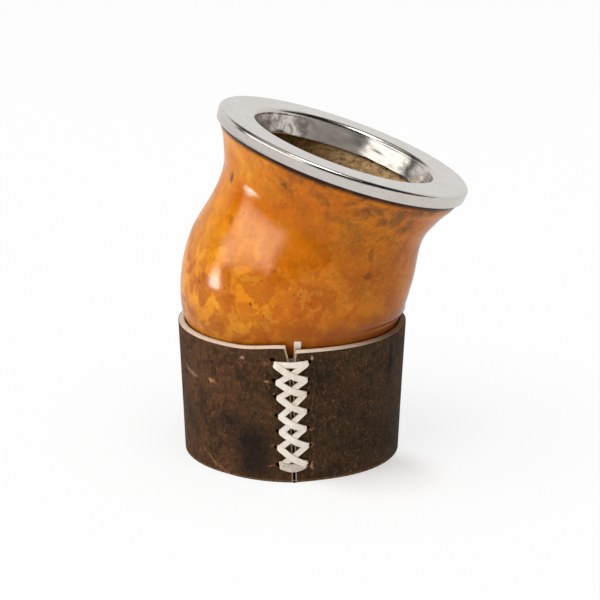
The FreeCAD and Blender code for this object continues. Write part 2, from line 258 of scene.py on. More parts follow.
class Vector(Value):
    """A place or a colour in a material: operators add Vector Math nodes."""

    def vector_math(self, operation, *others, output=0, kind=Value):
        return self.paint.node("ShaderNodeVectorMath", {"operation": operation}, (self,) + others,
                               output=output, kind=kind)

    def __add__(self, other):
        return self.vector_math("ADD", other, kind=Vector)

    def __sub__(self, other):
        return self.vector_math("SUBTRACT", other, kind=Vector)

    def __mul__(self, other):
        return self.vector_math("MULTIPLY", other, kind=Vector)

    def scaled(self, by):
        return self.paint.node("ShaderNodeVectorMath", {"operation": "SCALE"},
                               {"Vector": self, "Scale": by}, kind=Vector)

    def length(self):
        return self.vector_math("LENGTH", output="Value")

    def along(self, direction):
        """How far this place lies along a direction."""
        return self.vector_math("DOT_PRODUCT", direction, output="Value")

    def mixed(self, other, share):
        """This colour, and the other one where the share is one."""
        return self.paint.mix(share, self, other)

    def part(self, axis):
        return self.paint.node("ShaderNodeSeparateXYZ", {}, (self,), output=axis)


class Paint:
    """One material or world tree. Every node comes from the method node."""

    def __init__(self, owner):
        owner.use_nodes = True
        self.tree = owner.node_tree
        self.tree.nodes.clear()

    def node(self, type_name, settings=None, inputs=(), output=0, kind=Value):
        made = self.tree.nodes.new(type_name)
        for key, setting in (settings or {}).items():
            setattr(made, key, setting)
        pairs = inputs.items() if isinstance(inputs, dict) else enumerate(inputs)
        for key, given in pairs:
            if isinstance(given, Value):
                self.tree.links.new(given.socket, made.inputs[key])
            elif given is not None:
                made.inputs[key].default_value = given
        return kind(self, made.outputs[output]) if len(made.outputs) else None

    def mix(self, share, a, b):
        a = a if isinstance(a, Value) else tuple(a) + (1.0,)
        b = b if isinstance(b, Value) else tuple(b) + (1.0,)
        return self.node("ShaderNodeMix", {"data_type": "RGBA", "clamp_factor": True},
                         {0: share, 6: a, 7: b}, output=2, kind=Vector)

    def place(self):
        return self.node("ShaderNodeTexCoord", output="Object", kind=Vector)

    def attribute(self, name):
        return self.node("ShaderNodeAttribute", {"attribute_name": name}, output="Fac")

    def ray(self, kind):
        """One on rays of that kind: Is Camera Ray or Is Glossy Ray."""
        return self.node("ShaderNodeLightPath", output=kind)

    def noise(self, at, scale, detail=4.0, roughness=0.55, distortion=0.0):
        return self.node("ShaderNodeTexNoise", {"noise_dimensions": "3D"},
                         {"Vector": at, "Scale": scale, "Detail": detail,
                          "Roughness": roughness, "Distortion": distortion}, output=0)

    def wobbled(self, at, scale, detail, reach):
        """A place pushed about by a noise, by up to about half of the reach in metres."""
        push = self.node("ShaderNodeTexNoise", {"noise_dimensions": "3D"},
                         {"Vector": at, "Scale": scale, "Detail": detail}, output=1, kind=Vector)
        return at + (push - (0.5, 0.5, 0.5)).scaled(reach)

    def cells(self, at, scale, randomness=1.0):
        return self.node("ShaderNodeTexVoronoi", {"feature": "F1"},
                         {"Vector": at, "Scale": scale, "Randomness": randomness},
                         output="Distance")

    def lines(self, at, scale, width, detail=3.0):
        """Thin wandering lines: one where a noise passes its middle value."""
        return 1.0 - abs(self.noise(at, scale, detail, 0.5) - 0.5).rise(width * 0.3, width)

    def shifted(self, at, move=(0, 0, 0), scale=(1, 1, 1), turn=(0, 0, 0)):
        return self.node("ShaderNodeMapping", {"vector_type": "POINT"},
                         {"Vector": at, "Location": move, "Rotation": turn, "Scale": scale},
                         kind=Vector)

    def bump(self, height, distance, strength):
        return self.node("ShaderNodeBump", {}, {"Height": height, "Distance": distance,
                                                "Strength": strength}, kind=Vector)

    def surface(self, **sockets):
        names = {key.replace("_", " ").title().replace("Ior", "IOR"): item
                 for key, item in sockets.items()}
        self.finish(self.node("ShaderNodeBsdfPrincipled", {}, names))

    def finish(self, shader, output="ShaderNodeOutputMaterial"):
        self.node(output, {}, {"Surface": shader})


def new_material(name):
    material = bpy.data.materials.new(name)
    return material, Paint(material)


# Surfaces

def curve_through(knots, values, at):
    """A smooth line through given points: a cubic between each two, with the natural
    condition (no bend) at both ends."""
    x = np.asarray(knots, float)
    y = np.asarray(values, float)
    h = np.diff(x)
    n = len(x)
    matrix = np.eye(n)
    right = np.zeros(n)
    inner = np.arange(1, n - 1)
    matrix[inner, inner - 1] = h[:-1]
    matrix[inner, inner] = 2 * (h[:-1] + h[1:])
    matrix[inner, inner + 1] = h[1:]
    right[inner] = 6 * (np.diff(y)[1:] / h[1:] - np.diff(y)[:-1] / h[:-1])
    bend = np.linalg.solve(matrix, right)
    k = np.clip(np.searchsorted(x, at) - 1, 0, n - 2)
    a = (x[k + 1] - at) / h[k]
    b = (at - x[k]) / h[k]
    return (a * y[k] + b * y[k + 1]
            + ((a ** 3 - a) * bend[k] + (b ** 3 - b) * bend[k + 1]) * h[k] ** 2 / 6)


def even_steps(points, count):
    """Points spread evenly by length along a line of straight runs."""
    line = np.asarray(points, float)
    run = np.concatenate([[0], np.cumsum(np.linalg.norm(np.diff(line, axis=0), axis=1))])
    at = np.linspace(0, run[-1], count)
    return np.stack([np.interp(at, run, line[:, k]) for k in range(line.shape[1])], -1)


def grid_faces(rows, columns, close_rows=False, close_columns=False):
    """Four corners of each cell of a grid, as indices; a closed side meets its start."""
    r = np.arange(rows if close_rows else rows - 1)
    c = np.arange(columns if close_columns else columns - 1)
    i, j = np.meshgrid(r, c, indexing="ij")
    k, m = (i + 1) % rows, (j + 1) % columns
    return np.stack([i * columns + j, i * columns + m, k * columns + m, k * columns + j], -1).reshape(-1, 4)


def fan(centre, ring, ahead_first):
    """Triangles from one point to a closed ring of points, all given by their numbers."""
    ahead = np.roll(ring, -1)
    pair = (ahead, ring) if ahead_first else (ring, ahead)
    return np.stack([np.full(len(ring), centre), *pair], -1)


def make_mesh(name, points, faces, marks=None):
    """A mesh from points in millimetres and faces of three or four corners; marks are
    named numbers, one for each point."""
    mesh = bpy.data.meshes.new(name)
    faces = [np.asarray(f, np.int32) for f in faces if len(f)]
    sizes = np.concatenate([np.full(len(f), f.shape[1], np.int32) for f in faces])
    loops = np.concatenate([f.reshape(-1) for f in faces]).astype(np.int32)
    mesh.vertices.add(len(points))
    mesh.vertices.foreach_set("co", (np.asarray(points, float) * MM).astype(np.float32).reshape(-1))
    mesh.loops.add(len(loops))
    mesh.loops.foreach_set("vertex_index", loops)
    mesh.polygons.add(len(sizes))
    mesh.polygons.foreach_set("loop_start", np.concatenate([[0], np.cumsum(sizes)[:-1]]).astype(np.int32))
    mesh.polygons.foreach_set("use_smooth", np.ones(len(sizes), bool))
    mesh.update(calc_edges=True)
    mesh.validate()
    for key, numbers in (marks or {}).items():
        layer = mesh.attributes.new(key, "FLOAT", "POINT")
        layer.data.foreach_set("value", np.asarray(numbers, np.float32).reshape(-1))
    piece = bpy.data.objects.new(name, mesh)
    bpy.context.scene.collection.objects.link(piece)
    return piece


def dress(piece, material, slot, *nodes):
    """Gives a piece its material and its body, and hides the CAD parts it stands for; the slot is not used.
    """
    piece.data.materials.append(material)
    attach(piece, "root")
    if nodes:
        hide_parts(*nodes)
    return piece


# Gourd

def neck_lengths():
    """Length of the straight neck and the height at which the bend ends."""
    neck = (RIM_CENTRE[0] - BEND_RADIUS * (1 - math.cos(NECK_LEAN))) / math.sin(NECK_LEAN)
    upright = RIM_CENTRE[2] - BEND_RADIUS * math.sin(NECK_LEAN) - neck * math.cos(NECK_LEAN)
    return neck, upright


def spine(depth):
    """Centre and lean of the gourd's section at depths along its spine: straight down the
    lean, then round an arc until upright, then straight down."""
    neck, upright = neck_lengths()
    past = depth - neck
    turn = np.clip(NECK_LEAN - past / BEND_RADIUS, 0, NECK_LEAN)
    below = np.maximum(past - BEND_RADIUS * NECK_LEAN, 0)
    x = np.where(past < 0, RIM_CENTRE[0] - depth * math.sin(NECK_LEAN), BEND_RADIUS * (1 - np.cos(turn)))
    z = np.where(past < 0, RIM_CENTRE[2] - depth * math.cos(NECK_LEAN),
                 upright + BEND_RADIUS * np.sin(turn) - below)
    lip = np.clip((7.5 - depth) / 3.1, 0, 1)
    return x, z, turn + (RIM_TILT - NECK_LEAN) * lip


def depth_at(height):
    neck, upright = neck_lengths()
    return neck + BEND_RADIUS * NECK_LEAN + upright - height


def bottom_arc(inset, count):
    """The rounded bottom: depth and radius along an arc from the belly to its pole."""
    turn = np.radians(np.linspace(20, 90, count))
    curve = BOTTOM_CURVE - inset
    depth = depth_at(BELLY_HEIGHT - curve * np.sin(turn))
    return np.stack([depth, BELLY_RADIUS - BOTTOM_CURVE + curve * np.cos(turn)], -1)


def gourd_outline():
    """Depth and radius round the gourd's wall: up the outside from the bottom pole, over
    the lip under the rim, and down the inside to the floor's pole."""
    outside = np.array([(4.4, 43.8), (7.5, 42.3), (10.5, 40.4), (14, 38.7), (18, 37.1), (24, 36.4),
                        (32, 37.5), (42, 39.2), (50, 39.75), (56, 39.35)])
    inside = np.array([(8.7, 30.8), (14, 30.8), (18, 30.7), (24, 30.0), (32, 31.1), (42, 32.8),
                       (50, 33.35), (56, 32.95)])
    outer_arc = bottom_arc(0.0, 40)
    inner_arc = bottom_arc(GOURD_WALL, 40)
    knots = np.vstack([outside, outer_arc[:12:4]])
    at = np.linspace(4.4, outer_arc[0, 0], 130)[:-1]
    wall = np.stack([at, curve_through(knots[:, 0], knots[:, 1], at)], -1)
    knots = np.vstack([inside, inner_arc[:12:4]])
    at = np.linspace(8.9, inner_arc[0, 0], 90)[:-1]
    bore = np.stack([at, curve_through(knots[:, 0], knots[:, 1], at)], -1)
    lip = np.array([(4.0, 43.8), (3.0, 43.75), (2.0, 43.5), (1.3, 43.0), (1.0, 42.2), (1.0, 39.0),
                    (1.0, 36.0), (1.15, 34.2), (1.8, 33.3), (2.8, 32.75), (4.2, 32.3), (6.0, 31.75),
                    (8.0, 31.3), (8.75, 31.15), (8.8, 30.95)])
    floor = np.array([(outer_arc[-1, 0], 2.0), (outer_arc[-1, 0], 0.6)])
    floor_in = np.array([(inner_arc[-1, 0], 2.0), (inner_arc[-1, 0], 0.6)])
    line = np.vstack([floor[::-1], outer_arc[::-1], wall[::-1], lip, bore, inner_arc, floor_in])
    first_inside = len(floor) + len(outer_arc) + len(wall) + 8
    return line, first_inside


def gourd_points(outline, steps, lump):
    """Each section is a circle square to the spine; the radius grows and shrinks a little
    with slow waves round and along the shell, and not at all at the lip and the seat."""
    depth, radius = outline[:, 0][:, None], outline[:, 1][:, None]
    x, z, turn = spine(depth)
    around = np.linspace(0, 2 * math.pi, steps, endpoint=False)[None, :]
    free = np.clip((depth - 9) / 8, 0, 1) * np.clip((60 - depth) / 8, 0, 1)
    wave = (np.sin(2 * around + depth / 11.0 + 0.7) + 0.7 * np.sin(3 * around - depth / 7.0)
            + 0.5 * np.sin(5 * around + depth / 5.0 + 2.0) + 0.35 * np.sin(9 * around - depth / 3.3))
    r = radius + lump * wave * free
    return np.stack([x + r * np.cos(around) * np.cos(turn), r * np.sin(around),
                     z - r * np.cos(around) * np.sin(turn)], -1)


def gourd_material(look):
    material, p = new_material("lacquered_gourd")
    at = p.place()
    near = p.wobbled(at, 110.0, 4.0, 0.0085)
    close = p.wobbled(at, 500.0, 3.0, 0.0030)

    def patch(point, size, stretch):
        """One in a wobbly ball about a place in millimetres, nought outside it."""
        gap = ((close - metres(point)) * tuple(1 / s for s in stretch)).length()
        return 1.0 - gap.rise(size * 0.45 * MM, size * 1.5 * MM)

    inside = p.attribute("inside")
    right = at.part("X").rise(-0.012, 0.036)
    rim_way = (math.sin(RIM_TILT), 0.0, math.cos(RIM_TILT))
    under_rim = (at - metres(RIM_CENTRE)).along(rim_way)
    high = under_rim.rise(-0.030, -0.004) * at.part("X").rise(-0.024, 0.010)
    low = 1.0 - at.part("Z").rise(0.068, 0.086)
    left_low = low * (1.0 - right * 0.75)

    cloud = p.noise(at, 50.0, 5.0, 0.58, 0.6)
    colour = p.mix(cloud.rise(0.42, 0.62), look.amber, look.honey)
    middle = 1.0 - abs(at.part("X") - 0.006).rise(0.004, 0.022)
    colour = colour.mixed(paint_value(198, 100, 6), middle * 0.80)
    # Painted shade: the right side of the shell is painted darker, away from the key light
    colour = colour.mixed(look.right_shade, right * 0.85)
    for point, size, stretch, share in AMBER_PATCHES:
        colour = colour.mixed(paint_value(204, 102, 2), patch(point, size, stretch) * share)
    blot = p.noise(p.shifted(near, (0.2, 0.8, 0.5)), 104.0, 2.0, 0.5).rise(0.49, 0.54)
    colour = colour.mixed(look.umber, blot * (0.20 + left_low * 0.46))
    stain = p.noise(p.shifted(near, (0.11, 0.62, 0.2)), 150.0, 3.0, 0.5)
    colour = colour.mixed(look.umber, stain.rise(0.50, 0.56) * (0.22 + low * 0.28))
    lit = p.noise(p.shifted(near, (0.5, 0.2, 0.7)), 190.0, 4.0, 0.6).rise(0.53, 0.58)
    colour = colour.mixed(paint_value(238, 164, 56), lit * left_low * 0.30)
    smoke = p.noise(p.shifted(at, (0.7, 0.2, 0.1)), 135.0, 7.0, 0.70, 0.4)
    colour = colour.mixed(look.smudge, smoke.rise(0.46, 0.60) * (high * 0.66 + right * 0.26 + 0.08))
    fine = p.noise(at, 560.0, 6.0, 0.78)
    dirt = fine.rise(0.54, 0.68) * (0.22 + right * 0.26 + high * 0.26)
    colour = colour.mixed(paint_value(112, 60, 12), dirt)
    colour = colour.mixed(paint_value(236, 158, 48), (1.0 - fine.rise(0.34, 0.46)) * 0.26)
    for point, size, stretch, share in GOURD_MARKS:
        colour = colour.mixed(paint_value(72, 40, 18), patch(point, size, stretch) * share)
    crack = 1.0 - abs(near.part("Z") - at.part("X") * 0.02 - 0.0826).rise(0.0000, 0.0005)
    crack = crack * patch((26.0, -33.0, 82.0), 9.0, (1, 1, 1)) * p.noise(at, 300.0, 3.0).rise(0.44, 0.60)
    colour = colour.mixed(paint_value(110, 54, 22), crack * 0.65)
    # Painted shade: the shell just above and inside the leather ring is painted darker, more so on the
    # right
    foot = 1.0 - at.part("Z").rise(0.049, 0.060)
    colour = colour.mixed(paint_value(128, 62, 10), foot * (0.40 + right * 0.55))
    # Painted shade: a dark line on the shell just under the rim's band, where the band shades it, broken up
    # by the smudge noise
    shade_under_band = under_rim.rise(-0.0070, -0.0052) * (0.70 + smoke * 0.6)
    colour = colour.mixed(paint_value(40, 22, 10), shade_under_band)
    speck = p.cells(p.shifted(at, (0.05, 0.02, 0.3)), 420.0)
    dots = (1.0 - speck.rise(0.06, 0.20)) * p.noise(at, 260.0, 1.0).rise(0.60, 0.66)
    colour = colour.mixed(paint_value(86, 58, 34), dots * 0.8)

    fibre = p.noise(p.shifted(close, scale=(0.4, 0.4, 1.7)), 560.0, 7.0, 0.80)
    flesh = p.mix(fibre.rise(0.34, 0.64), shaded(look.flesh, 0.5), look.flesh)
    # Painted light: the bore is painted lighter and warmer towards its right side, where it is lit
    warm = p.mix(fibre.rise(0.34, 0.62), paint_value(160, 102, 50), paint_value(254, 220, 166))
    flesh = flesh.mixed(warm, at.part("X").rise(-0.004, 0.030) * 0.95)
    pits = p.noise(p.shifted(near, (0.4, 0.1, 0.9)), 520.0, 4.0, 0.7)
    flesh = flesh.mixed(paint_value(60, 46, 26), pits.rise(0.56, 0.64) * 0.8)
    colour = colour.mixed(flesh, inside)

    swell = p.noise(at, 120.0, 3.0, 0.5, 0.3)
    ripple = p.noise(p.shifted(at, (0.1, 0.4, 0.6)), 330.0, 3.0, 0.6)
    skin = swell * 1.5 + smoke * 0.30 + ripple * 0.22 + fine * 0.04 - dots * 0.2
    wall = fibre * 4.0 + pits * 1.5
    p.surface(base_color=colour,
              roughness=0.55 + inside * 0.3,
              specular_ior_level=0.0,
              coat_weight=(1.0 - inside) * look.lacquer,
              coat_roughness=0.13, coat_ior=1.3,
              normal=p.bump(skin * (1.0 - inside) + wall * inside, 0.00018, 0.6))
    return material


class MATECUP_OT_gourd(bpy.types.Operator):
    """Makes the lacquered gourd with its hollow and its lip under the rim"""
    bl_idname = "matecup.gourd"
    bl_label = "Gourd"

    def execute(self, context):
        look = context.scene.matecup_gourd
        steps = context.scene.matecup_stage.steps
        outline, first_inside = gourd_outline()
        ring = gourd_points(outline, steps, look.lump / MM)
        rows = len(outline)
        pole = BELLY_HEIGHT - BOTTOM_CURVE
        poles = np.array([[0, 0, pole], [0, 0, pole + GOURD_WALL]])
        points = np.vstack([ring.reshape(-1, 3), poles])
        quads = grid_faces(rows, steps, close_columns=True)
        k = np.arange(steps)
        start = fan(rows * steps, k, True)
        end = fan(rows * steps + 1, (rows - 1) * steps + k, False)
        inside = np.repeat((np.arange(rows) >= first_inside).astype(float), steps)
        inside = np.concatenate([inside, [0.0, 1.0]])
        piece = make_mesh("gourd_shell", points, [quads, start, end], {"inside": inside})
        dress(piece, gourd_material(look), "gourd_shell", "gourd")
        return {"FINISHED"}


# Rim

def quarter_round(centre, radius, start, end, count):
    """Points of radius and depth on an arc about a centre, by its angles in degrees."""
    turn = np.radians(np.linspace(start, end, count))
    return np.stack([centre[0] + radius * np.cos(turn), centre[1] - radius * np.sin(turn)], -1)


def rim_outline(look):
    """Radius and depth round the spun sheet's section: down the band, which draws in a
    little, back inside it, and over the sleeve with its two slopes and the crease between."""
    t = look.sheet / MM
    big = look.radius / MM
    outer = (big - RIM_EDGE_ROUND, RIM_EDGE_ROUND)
    inner = (RIM_MOUTH_RADIUS + RIM_MOUTH_ROUND, RIM_MOUTH_ROUND)
    parts = [
        quarter_round(inner, RIM_MOUTH_ROUND, 180, 90, 14),
        even_steps([(34.2, 0.0), (big - 1.9, 0.0)], 24),
        quarter_round(outer, RIM_EDGE_ROUND, 90, -4, 18),
        even_steps([(big - 0.03, 1.7), (big - 0.22, 4.0)], 8),
        quarter_round((big - 0.46, 4.1), 0.25, 0, -90, 5),
        quarter_round((big - t - 0.02, 4.2), 0.15, -90, -180, 3),
        even_steps([(big - t - 0.17, 3.9), (big - t, 1.6)], 5),
        quarter_round(outer, RIM_EDGE_ROUND - t, 0, 90, 5),
        even_steps([(big - 1.8, t), (34.2, t)], 14),
        quarter_round(inner, RIM_MOUTH_ROUND - t, 90, 180, 6),
        even_steps([(32.75, 2.2), (32.2, 4.2)], 5),
        even_steps([(32.1, 4.6), (30.95, 8.2)], 8),
        quarter_round((30.7, 8.2), 0.2, 0, -90, 3),
        quarter_round((30.2, 8.2), 0.2, -90, -180, 3),
        even_steps([(30.02, 7.9), (31.10, 4.6)], 10),
        np.array([(31.20, 4.35), (31.24, 4.2), (31.29, 4.05)]),
        even_steps([(31.36, 3.8), (31.95, 1.95)], 8),
    ]
    return np.vstack(parts)


def rim_points(outline, steps):
    """The outline turned about the rim's axis; hammering and polishing leave the sleeve a
    few hundredths of a millimetre out of true."""
    radius, depth = outline[:, 0][:, None], outline[:, 1][:, None]
    around = np.linspace(0, 2 * math.pi, steps, endpoint=False)[None, :]
    sleeve = np.clip((depth - 1.2) / 2.0, 0, 1) * (radius < 33)
    wave = (0.05 * np.sin(5 * around + depth * 0.9) + 0.035 * np.sin(11 * around - depth * 1.3)
            + 0.02 * np.sin(23 * around + depth * 2.1))
    r = radius + wave * sleeve
    flat = 0.03 * (np.sin(3 * around + radius / 4) - 1) * (depth < 1.0) * (radius > 34) * (radius < 43)
    x, y, z = r * np.cos(around), r * np.sin(around), -depth + flat
    c, s = math.cos(RIM_TILT), math.sin(RIM_TILT)
    return np.stack([RIM_CENTRE[0] + x * c + z * s, y + 0 * x, RIM_CENTRE[2] - x * s + z * c], -1)


def rim_material(look):
    material, p = new_material("spun_metal")
    at = p.place()
    turned = p.shifted(at, turn=(0.0, -RIM_TILT, 0.0))
    sleeve = p.attribute("sleeve")
    hair = p.noise(p.shifted(turned, scale=(1.0, 1.0, 14.0)), 260.0, 4.0, 0.6)
    cloud = p.noise(at, 70.0, 4.0, 0.55, 0.4)
    smear = p.noise(p.shifted(at, (0.2, 0.5, 0.1)), 300.0, 6.0, 0.68, 0.5)
    colour = p.mix(cloud.rise(0.42, 0.62), look.metal, shaded(look.metal, 0.97, 0.955, 0.945))
    colour = colour.mixed(paint_value(188, 176, 166), smear.rise(0.52, 0.66) * 0.16)
    worn = at.part("X").rise(-0.002, 0.012) * sleeve
    dulled = at.part("X").rise(-0.001, 0.005) * (1.0 - at.part("X").rise(0.017, 0.027)) * sleeve
    colour = colour.mixed(paint_value(112, 96, 80), smear.rise(0.44, 0.58) * (sleeve * 0.62 - worn * 0.54))
    tarnish = p.noise(p.shifted(at, (0.9, 0.4, 0.3)), 150.0, 3.0, 0.5).rise(0.58, 0.64)
    colour = colour.mixed(paint_value(96, 72, 70), tarnish * (sleeve - worn) * 0.45)
    scratch = p.lines(p.shifted(turned, (0.3, 0.1, 0.2), (1.0, 1.0, 3.0)), 190.0, 0.006)
    colour = colour.mixed(paint_value(140, 128, 118), scratch * 0.25)
    height = hair * 0.12 + smear * (0.35 + sleeve * 0.8) + cloud + scratch * 0.5
    p.surface(base_color=colour, metallic=1.0,
              roughness=0.15 + smear.rise(0.45, 0.7) * 0.08 + dulled * 0.38,
              normal=p.bump(height, 0.00005, 0.22))
    return material


class MATECUP_OT_rim(bpy.types.Operator):
    """Makes the spun metal rim with its band and its sleeve"""
    bl_idname = "matecup.rim"
    bl_label = "Rim"

    def execute(self, context):
        look = context.scene.matecup_rim
        steps = context.scene.matecup_stage.steps
        outline = rim_outline(look)
        points = rim_points(outline, steps).reshape(-1, 3)
        quads = grid_faces(len(outline), steps, close_rows=True, close_columns=True)
        sleeve = np.repeat(((outline[:, 0] < 33) & (outline[:, 1] > 1.2)).astype(float), steps)
        piece = make_mesh("rim_sheet", points, [quads[:, ::-1]], {"sleeve": sleeve})
        dress(piece, rim_material(look), "rim_metal", "rim")
        return {"FINISHED"}


# Leather ring

def keel_share(angle):
    """How far the seam stands proud, from one at its middle to nought on each side."""
    away = angle - KEEL_ANGLE
    left = 1 - np.minimum(np.abs(away) / KEEL_LEFT, 1) ** 1.6
    right = (1 - np.minimum(np.abs(away) / KEEL_RIGHT, 1)) ** 2
    return np.where(away < 0, left, right)


def cone_radius(height):
    return RING_FOOT_RADIUS + RING_FLARE * height


def ring_radius(angle, height):
    """The ring's outer radius: a cone that flares upwards, plus the proud seam."""
    keel = KEEL_FOOT + (KEEL_TOP - KEEL_FOOT) * height / RING_HEIGHT
    return cone_radius(height) + keel * keel_share(angle)


def on_ring(offset, height, lift):
    """A place on the ring by its offset from the seam, height and lift off the leather."""
    angle = np.degrees(offset / cone_radius(height))
    r = ring_radius(angle, height) + lift
    turn = np.radians(angle)
    return np.stack([r * np.sin(turn), -r * np.cos(turn), height + 0 * r], -1)


def edge_offset(edge, height):
    """Offset of a flap's cut edge at a height, run straight between its points."""
    line = np.array(edge[::-1])
    return np.interp(height, line[:, 1], line[:, 0])


def leather_columns(flap=13.0, ring=39.0):
    """Shares of the way round a ring: fine steps at both flaps, where the holes are."""
    fine = np.linspace(0, flap, 34)
    far = 2 * math.pi * ring
    middle = np.linspace(flap, far - flap, 190)[1:-1]
    return np.concatenate([fine, middle, far - fine[::-1]]) / far


def open_hole(grid_x, grid_z, column, row, centre, half):
    """Draws the grid's block of cells about a hole onto the hole's outline: the block's
    border becomes two arcs that meet in points, and what lies near it follows."""
    i = np.arange(grid_x.shape[0])[:, None] - column
    j = np.arange(grid_x.shape[1])[None, :] - row
    u, v = i / half[0], j / half[1]
    reach = np.maximum(np.abs(u), np.abs(v))
    far = np.maximum(reach, 1e-6)
    bu, bv = u / far, v / far
    on_x = HOLE_HALF[0] * np.sign(bu) * np.abs(bu) ** 0.9
    lens = HOLE_HALF[1] * np.sqrt(np.maximum(1 - 0.92 * bu ** 2, 0))
    target_x = centre[0] + on_x * np.minimum(reach, 1)
    target_z = centre[1] + bv * lens * np.minimum(reach, 1)
    share = np.clip(1 - (reach - 1) / 0.9, 0, 1)
    share = share * share * (3 - 2 * share)
    return (grid_x * (1 - share) + target_x * share,
            grid_z * (1 - share) + target_z * share, reach < 0.99)


def leather_grid():
    """Angle offsets and heights of the strip's grid, with a block of cells left out for
    each hole. Columns run from the right flap's cut edge round the back to the left's."""
    shares = leather_columns()
    heights = np.concatenate([[0.0], np.linspace(0.35, RING_HEIGHT - 0.35, 104), [RING_HEIGHT]])
    start = edge_offset(RIGHT_EDGE, heights)
    end = 2 * math.pi * cone_radius(heights) + edge_offset(LEFT_EDGE, heights)
    x = start[None, :] + shares[:, None] * (end - start)[None, :]
    z = np.repeat(heights[None, :], len(shares), 0)
    holes = []
    for left_x, left_z, right_x, right_z in HOLES:
        for offset, height in ((right_x, right_z), (left_x, left_z)):
            row = int(np.argmin(np.abs(heights - height)))
            place = offset if offset > 0 else offset + 2 * math.pi * cone_radius(height)
            column = int(np.argmin(np.abs(x[:, row] - place)))
            holes.append((column, row, (place, height)))
    gap = np.zeros(x.shape, bool)
    for column, row, centre in holes:
        x, z, inner = open_hole(x, z, column, row, centre, (4.0, 3.0))
        gap |= inner
    return x, z, gap, [centre for _, _, centre in holes]


def leather_rim_height(angle, height):
    """Rise of the left flap's top towards the seam, shared out over the upper part."""
    signed = (angle + 180) % 360 - 180
    away = (np.minimum(signed, FLAP_ANGLE) - FLAP_ANGLE) / FLAP_SPREAD
    rise = FLAP_RISE * np.exp(-away ** 2) * (signed < 0)
    return height + rise * np.clip((height - FLAP_FROM) / (RING_HEIGHT - FLAP_FROM), 0, 1) ** 1.5


def leather_layers(look):
    """Outer and inner grid points of the leather, the cells that are holes, and each
    point's distance to a hole, bearing from the seam and distance to a cut edge."""
    x, z, gap, holes = leather_grid()
    round_at = cone_radius(z)
    angle = np.degrees(x / round_at)
    height = leather_rim_height(angle, z)
    signed = (angle + 180) % 360 - 180
    thick = look.leather / MM
    wave = 0.10 * np.sin(np.radians(angle) * 3 + 1) * np.sin(z / 14.0)
    outer_r = ring_radius(signed, height) - np.abs(wave)
    bevel = EDGE_BEVEL * np.clip((z - RING_HEIGHT) / (2 * EDGE_BEVEL) + 1, 0, 1)
    turn = np.radians(angle)
    inner_r = ring_radius(signed, height) - thick

    def place(r, h):
        return np.stack([r * np.sin(turn), -r * np.cos(turn), h], -1)

    spread = np.full(x.shape, 99.0)
    for centre in holes:
        dx, dz = (x - centre[0]) / HOLE_HALF[0], (z - centre[1]) / HOLE_HALF[1]
        spread = np.minimum(spread, (np.hypot(dx, dz) - 1) * 1.6)
    far = 2 * math.pi * round_at + edge_offset(LEFT_EDGE, z) - x
    seam = np.minimum(x - edge_offset(RIGHT_EDGE, z), far)
    return place(outer_r, height), place(inner_r, height + bevel), gap, spread, signed, seam


def leather_mesh(look):
    """The strip's two faces joined round every border: top, foot, both cut edges and the
    walls of the holes, each by cells of its own through the leather's thickness."""
    outer, inner, gap, spread, signed, seam = leather_layers(look)
    columns, rows = gap.shape
    count = columns * rows
    layers = 5
    shares = np.linspace(0, 1, layers)
    cells = grid_faces(columns, rows)
    open_cell = gap.reshape(-1)[cells].any(1)
    kept = cells[~open_cell]
    edges = np.concatenate([kept[:, [0, 1]], kept[:, [1, 2]], kept[:, [2, 3]], kept[:, [3, 0]]])
    key = edges[:, 0].astype(np.int64) * count + edges[:, 1]
    back = edges[:, 1].astype(np.int64) * count + edges[:, 0]
    border = edges[~np.isin(key, back)]
    brink = np.unique(border)
    slot_of = np.full(count, -1)
    slot_of[brink] = np.arange(len(brink))
    flat_out, flat_in = outer.reshape(-1, 3), inner.reshape(-1, 3)
    middle = [flat_out[brink] * (1 - s) + flat_in[brink] * s for s in shares[1:-1]]
    points = np.vstack([flat_out, flat_in] + middle)

    def level(index, layer):
        if layer == 0:
            return index
        if layer == layers - 1:
            return index + count
        return 2 * count + (layer - 1) * len(brink) + slot_of[index]

    walls = []
    for layer in range(layers - 1):
        a, b = border[:, 0], border[:, 1]
        walls.append(np.stack([level(a, layer), level(a, layer + 1),
                               level(b, layer + 1), level(b, layer)], -1))
    faces = [kept[:, ::-1], kept + count] + [w[:, ::-1] for w in walls]

    def mark(outer_face, inner_face, walls_between):
        return np.concatenate([outer_face, inner_face] + walls_between)

    marks = {}
    for name, numbers in (("near_hole", spread), ("side", signed), ("seam", seam)):
        flat = numbers.reshape(-1)
        marks[name] = mark(flat, flat, [flat[brink]] * (layers - 2))
    none = np.zeros(count)
    at_hole = spread.reshape(-1)[brink] < 0.6
    marks["cut"] = mark(none, none, [np.where(at_hole, 0.0, 1.0)] * (layers - 2))
    marks["back"] = mark(none, none + 1, [np.full(len(brink), s) for s in shares[1:-1]])
    used = np.zeros(len(points), bool)
    for f in faces:
        used[f] = True
    renumber = np.cumsum(used) - 1
    return points[used], [renumber[f] for f in faces], {k: v[used] for k, v in marks.items()}


